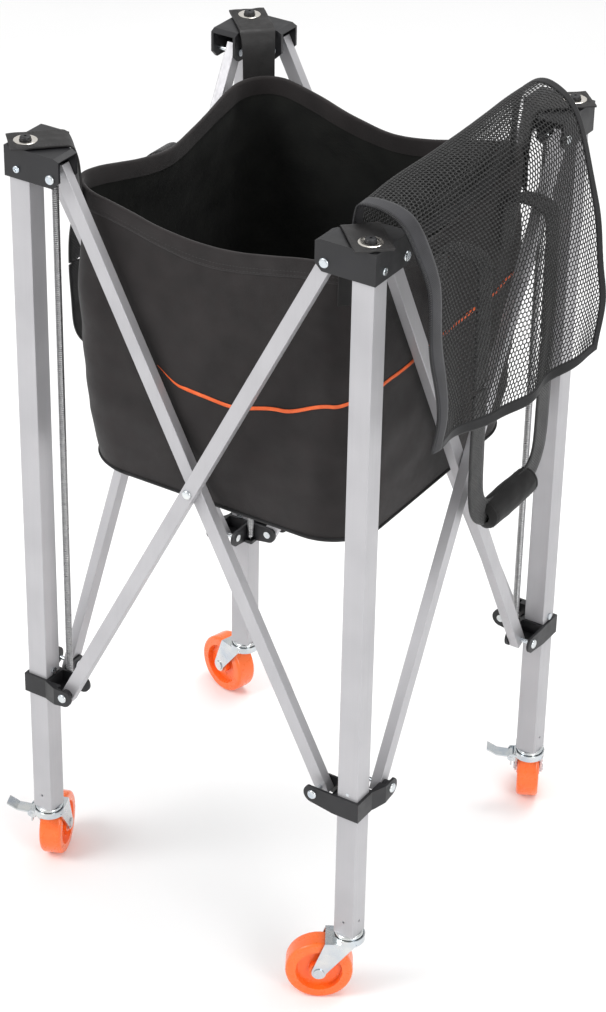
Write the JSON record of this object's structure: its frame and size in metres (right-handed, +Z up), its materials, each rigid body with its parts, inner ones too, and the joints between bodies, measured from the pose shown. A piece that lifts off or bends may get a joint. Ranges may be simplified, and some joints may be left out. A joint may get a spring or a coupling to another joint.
{
  "type": "folding ball trolley",
  "caption": "Folding four-legged ball trolley: scissor-braced square legs on swivel casters carry a lift-off cloth bag with a net lid.",
  "frame": {"origin": "on the floor, on the vertical centre line between the four legs", "axes": "+Z up; +Y from the front pair of legs to the back pair; +X to the right, toward the side that the net lid hangs over"},
  "size_m": [0.5707, 0.5238, 0.9685],
  "materials": {
    "anodised_aluminium": "satin anodised",
    "black_moulding": "fine matt",
    "zinc_steel": "bright zinc plated",
    "spring_steel": "zinc plated wire",
    "orange_wheel": "gloss",
    "bag_cloth": "plain weave polyester",
    "tab_leather": "grained",
    "webbing": "woven",
    "grip_foam": "padded",
    "net": "knitted net",
    "nickel": "polished"
  },
  "bodies": {
    "leg_assembly_fl": {"leg_fl": "anodised_aluminium", "bracket_fl": "black_moulding", "leg_fasteners_fl": "zinc_steel", "spring_fl": "spring_steel", "caster_stem_fl": "zinc_steel"},
    "slider_unit_fl": {"slider_fl": "black_moulding", "slider_rivets_fl": "zinc_steel"},
    "fork_unit_fl": {"caster_fork_fl": "zinc_steel", "caster_axle_fl": "zinc_steel"},
    "wheel_unit_fl": {"caster_wheel_fl": "orange_wheel"},
    "brake_unit_fl": {"brake_lever_fl": "zinc_steel"},
    "leg_assembly_fr": {"leg_fr": "anodised_aluminium", "bracket_fr": "black_moulding", "leg_fasteners_fr": "zinc_steel", "spring_fr": "spring_steel", "caster_stem_fr": "zinc_steel"},
    "slider_unit_fr": {"slider_fr": "black_moulding", "slider_rivets_fr": "zinc_steel"},
    "fork_unit_fr": {"caster_fork_fr": "zinc_steel", "caster_axle_fr": "zinc_steel"},
    "wheel_unit_fr": {"caster_wheel_fr": "orange_wheel"},
    "leg_assembly_rr": {"leg_rr": "anodised_aluminium", "bracket_rr": "black_moulding", "leg_fasteners_rr": "zinc_steel", "spring_rr": "spring_steel", "caster_stem_rr": "zinc_steel"},
    "slider_unit_rr": {"slider_rr": "black_moulding", "slider_rivets_rr": "zinc_steel"},
    "fork_unit_rr": {"caster_fork_rr": "zinc_steel", "caster_axle_rr": "zinc_steel"},
    "wheel_unit_rr": {"caster_wheel_rr": "orange_wheel"},
    "brake_unit_rr": {"brake_lever_rr": "zinc_steel"},
    "leg_assembly_rl": {"leg_rl": "anodised_aluminium", "bracket_rl": "black_moulding", "leg_fasteners_rl": "zinc_steel", "spring_rl": "spring_steel", "caster_stem_rl": "zinc_steel"},
    "slider_unit_rl": {"slider_rl": "black_moulding", "slider_rivets_rl": "zinc_steel"},
    "fork_unit_rl": {"caster_fork_rl": "zinc_steel", "caster_axle_rl": "zinc_steel"},
    "wheel_unit_rl": {"caster_wheel_rl": "orange_wheel"},
    "outer_bar_front": {"bar_outer_front": "anodised_aluminium"},
    "inner_bar_front": {"bar_inner_front": "anodised_aluminium", "crossing_rivet_front": "zinc_steel"},
    "outer_bar_right": {"bar_outer_right": "anodised_aluminium"},
    "inner_bar_right": {"bar_inner_right": "anodised_aluminium", "crossing_rivet_right": "zinc_steel"},
    "outer_bar_back": {"bar_outer_back": "anodised_aluminium", "crossing_rivet_back": "zinc_steel"},
    "inner_bar_back": {"bar_inner_back": "anodised_aluminium"},
    "outer_bar_left": {"bar_outer_left": "anodised_aluminium", "crossing_rivet_left": "zinc_steel"},
    "inner_bar_left": {"bar_inner_left": "anodised_aluminium"},
    "bag": {"bag_body": "bag_cloth", "bag_tabs": "tab_leather", "bag_grommets": "nickel", "bag_handles": "webbing", "handle_grip": "grip_foam"},
    "lid": {"bag_lid": "net"}
  },
  "joints": [
    {"name": "frame_fold", "type": "hinge", "parent": "leg_assembly_fl", "child": "inner_bar_front", "pos_m": [-0.164, -0.206, 0.902], "axis": [0, 1, 0], "range_deg": [0, 25], "stiffness_Nm_per_rad": 8, "springref_deg": -57.3, "deforming": ["spring_fl", "spring_fr", "spring_rr", "spring_rl", "bag_body", "bag_tabs", "bag_grommets", "bag_handles", "handle_grip", "bag_lid"]},
    {"name": "front_cross", "type": "hinge", "parent": "inner_bar_front", "child": "outer_bar_front", "pos_m": [0, -0.206, 0.584], "axis": [0, 1, 0], "range_deg": [-50, 0]},
    {"name": "front_leg", "type": "hinge", "parent": "outer_bar_front", "child": "leg_assembly_fr", "pos_m": [0.164, -0.206, 0.902], "axis": [0, 1, 0], "range_deg": [0, 25]},
    {"name": "right_top", "type": "hinge", "parent": "leg_assembly_fr", "child": "inner_bar_right", "pos_m": [0.206, -0.164, 0.902], "axis": [-1, 0, 0], "range_deg": [0, 25]},
    {"name": "right_cross", "type": "hinge", "parent": "inner_bar_right", "child": "outer_bar_right", "pos_m": [0.206, 0, 0.584], "axis": [-1, 0, 0], "range_deg": [-50, 0]},
    {"name": "right_leg", "type": "hinge", "parent": "outer_bar_right", "child": "leg_assembly_rr", "pos_m": [0.206, 0.164, 0.902], "axis": [-1, 0, 0], "range_deg": [0, 25]},
    {"name": "left_top", "type": "hinge", "parent": "leg_assembly_fl", "child": "outer_bar_left", "pos_m": [-0.206, -0.164, 0.902], "axis": [1, 0, 0], "range_deg": [-25, 0]},
    {"name": "left_cross", "type": "hinge", "parent": "outer_bar_left", "child": "inner_bar_left", "pos_m": [-0.206, 0, 0.584], "axis": [1, 0, 0], "range_deg": [0, 50]},
    {"name": "left_leg", "type": "hinge", "parent": "inner_bar_left", "child": "leg_assembly_rl", "pos_m": [-0.206, 0.164, 0.902], "axis": [1, 0, 0], "range_deg": [-25, 0]},
    {"name": "back_top", "type": "hinge", "parent": "leg_assembly_rl", "child": "outer_bar_back", "pos_m": [-0.164, 0.206, 0.902], "axis": [0, -1, 0], "range_deg": [-25, 0]},
    {"name": "back_cross", "type": "hinge", "parent": "outer_bar_back", "child": "inner_bar_back", "pos_m": [0, 0.206, 0.584], "axis": [0, -1, 0], "range_deg": [0, 50]},
    {"name": "slider_fl_pivot", "type": "hinge", "parent": "outer_bar_front", "child": "slider_unit_fl", "pos_m": [-0.164, -0.206, 0.266], "axis": [0, 1, 0], "range_deg": [0, 25]},
    {"name": "slider_fr_pivot", "type": "hinge", "parent": "inner_bar_front", "child": "slider_unit_fr", "pos_m": [0.164, -0.206, 0.266], "axis": [0, 1, 0], "range_deg": [-25, 0]},
    {"name": "slider_rr_pivot", "type": "hinge", "parent": "inner_bar_right", "child": "slider_unit_rr", "pos_m": [0.206, 0.164, 0.266], "axis": [-1, 0, 0], "range_deg": [-25, 0]},
    {"name": "slider_rl_pivot", "type": "hinge", "parent": "outer_bar_left", "child": "slider_unit_rl", "pos_m": [-0.206, 0.164, 0.266], "axis": [1, 0, 0], "range_deg": [0, 25]},
    {"name": "caster_swivel_fl", "type": "hinge", "parent": "leg_assembly_fl", "child": "fork_unit_fl", "pos_m": [-0.206, -0.206, 0.08], "axis": [0, 0, 1], "continuous": true},
    {"name": "wheel_spin_fl", "type": "hinge", "parent": "fork_unit_fl", "child": "wheel_unit_fl", "pos_m": [-0.21799, -0.17633, 0.0375], "axis": [-0.9272, -0.3746, 0], "continuous": true},
    {"name": "brake_pedal_fl", "type": "hinge", "parent": "fork_unit_fl", "child": "brake_unit_fl", "pos_m": [-0.22893, -0.20664, 0.07], "axis": [0.3746, -0.9272, 0], "range_deg": [0, 12]},
    {"name": "caster_swivel_fr", "type": "hinge", "parent": "leg_assembly_fr", "child": "fork_unit_fr", "pos_m": [0.206, -0.206, 0.08], "axis": [0, 0, 1], "continuous": true},
    {"name": "wheel_spin_fr", "type": "hinge", "parent": "fork_unit_fr", "child": "wheel_unit_fr", "pos_m": [0.17857, -0.22248, 0.0375], "axis": [0.515, -0.8572, 0], "continuous": true},
    {"name": "caster_swivel_rr", "type": "hinge", "parent": "leg_assembly_rr", "child": "fork_unit_rr", "pos_m": [0.206, 0.206, 0.08], "axis": [0, 0, 1], "continuous": true},
    {"name": "wheel_spin_rr", "type": "hinge", "parent": "fork_unit_rr", "child": "wheel_unit_rr", "pos_m": [0.19147, 0.23451, 0.0375], "axis": [-0.891, -0.454, 0], "continuous": true},
    {"name": "brake_pedal_rr", "type": "hinge", "parent": "fork_unit_rr", "child": "brake_unit_rr", "pos_m": [0.18321, 0.20337, 0.07], "axis": [0.454, -0.891, 0], "range_deg": [0, 12]},
    {"name": "caster_swivel_rl", "type": "hinge", "parent": "leg_assembly_rl", "child": "fork_unit_rl", "pos_m": [-0.206, 0.206, 0.08], "axis": [0, 0, 1], "continuous": true},
    {"name": "wheel_spin_rl", "type": "hinge", "parent": "fork_unit_rl", "child": "wheel_unit_rl", "pos_m": [-0.2366, 0.21536, 0.0375], "axis": [-0.2924, -0.9563, 0], "continuous": true},
    {"name": "bag_lift_off", "type": "slide", "parent": "leg_assembly_fl", "child": "bag", "axis": [0, 0, 1], "range_m": [0, 0.4]},
    {"name": "lid_hinge", "type": "hinge", "parent": "bag", "child": "lid", "pos_m": [0.173, 0, 0.868], "axis": [0, -1, 0], "range_deg": [0, 90]}
  ],
  "couplings": [
    {"joint": "front_cross", "follows": "frame_fold", "ratio": -2},
    {"joint": "front_leg", "follows": "frame_fold", "ratio": 1},
    {"joint": "right_top", "follows": "frame_fold", "ratio": 1},
    {"joint": "right_cross", "follows": "frame_fold", "ratio": -2},
    {"joint": "right_leg", "follows": "frame_fold", "ratio": 1},
    {"joint": "left_top", "follows": "frame_fold", "ratio": -1},
    {"joint": "left_cross", "follows": "frame_fold", "ratio": 2},
    {"joint": "left_leg", "follows": "frame_fold", "ratio": -1},
    {"joint": "back_top", "follows": "frame_fold", "ratio": -1},
    {"joint": "back_cross", "follows": "frame_fold", "ratio": 2},
    {"joint": "slider_fl_pivot", "follows": "frame_fold", "ratio": 1},
    {"joint": "slider_fr_pivot", "follows": "frame_fold", "ratio": -1},
    {"joint": "slider_rr_pivot", "follows": "frame_fold", "ratio": -1},
    {"joint": "slider_rl_pivot", "follows": "frame_fold", "ratio": 1}
  ]
}
